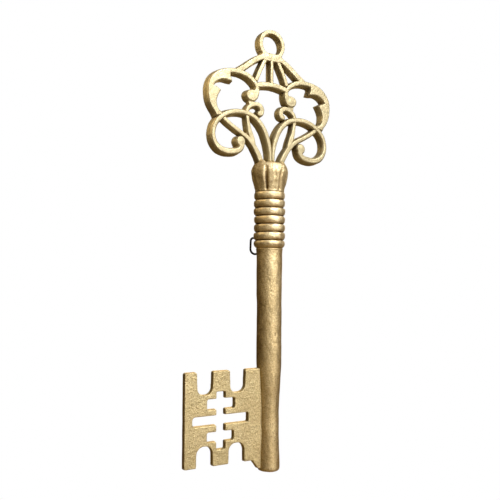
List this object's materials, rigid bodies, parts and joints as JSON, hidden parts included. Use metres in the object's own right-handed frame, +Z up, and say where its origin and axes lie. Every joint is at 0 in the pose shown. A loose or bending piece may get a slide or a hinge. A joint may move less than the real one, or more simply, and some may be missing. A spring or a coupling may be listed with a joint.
{
  "type": "decorative wall key",
  "caption": "Large gold-painted cast metal wall key with a pierced scroll bow, hanging ring, fluted socket, beaded collar, round shaft, notched bit and a swinging wire hanger loop on the back.",
  "frame": {"origin": "centre of the hole in the hanging ring", "axes": "+Z up along the shaft towards the ring, +X to the viewer's right, -Y towards the viewer (front face)"},
  "size_m": [0.1414, 0.0341, 0.379],
  "materials": {
    "gold_scroll": "metallic antique gold paint over a sand-cast surface",
    "gold_round": "metallic antique gold paint over a sand-cast surface",
    "gold_face": "metallic antique gold paint over a sand-cast surface",
    "gold_pin": "metallic gold paint",
    "gold_lug": "metallic gold paint",
    "wire": "dark oxidised steel wire"
  },
  "bodies": {
    "key": {"hanging_ring": "gold_scroll", "ray_outer_left": "gold_scroll", "ray_inner_left": "gold_scroll", "ray_centre": "gold_scroll", "ray_inner_right": "gold_scroll", "ray_outer_right": "gold_scroll", "bridge_arc": "gold_scroll", "lobe_left": "gold_scroll", "lobe_right": "gold_scroll", "loop_scroll_left": "gold_scroll", "loop_scroll_right": "gold_scroll", "stem_left": "gold_scroll", "stem_right": "gold_scroll", "curl_left": "gold_scroll", "curl_right": "gold_scroll", "fluted_socket": "gold_round", "socket_dowel": "gold_pin", "bead_collar": "gold_round", "shaft": "gold_round", "bit_plate": "gold_face", "bit_pins": "gold_pin", "wire_lug": "gold_lug"},
    "wire_loop": {"wire_loop": "wire"}
  },
  "joints": [
    {"name": "wire_loop_swing", "type": "hinge", "parent": "key", "child": "wire_loop", "pos_m": [0, 0.0155, -0.1682], "axis": [1, 0, 0], "range_deg": [-8, 165]}
  ]
}
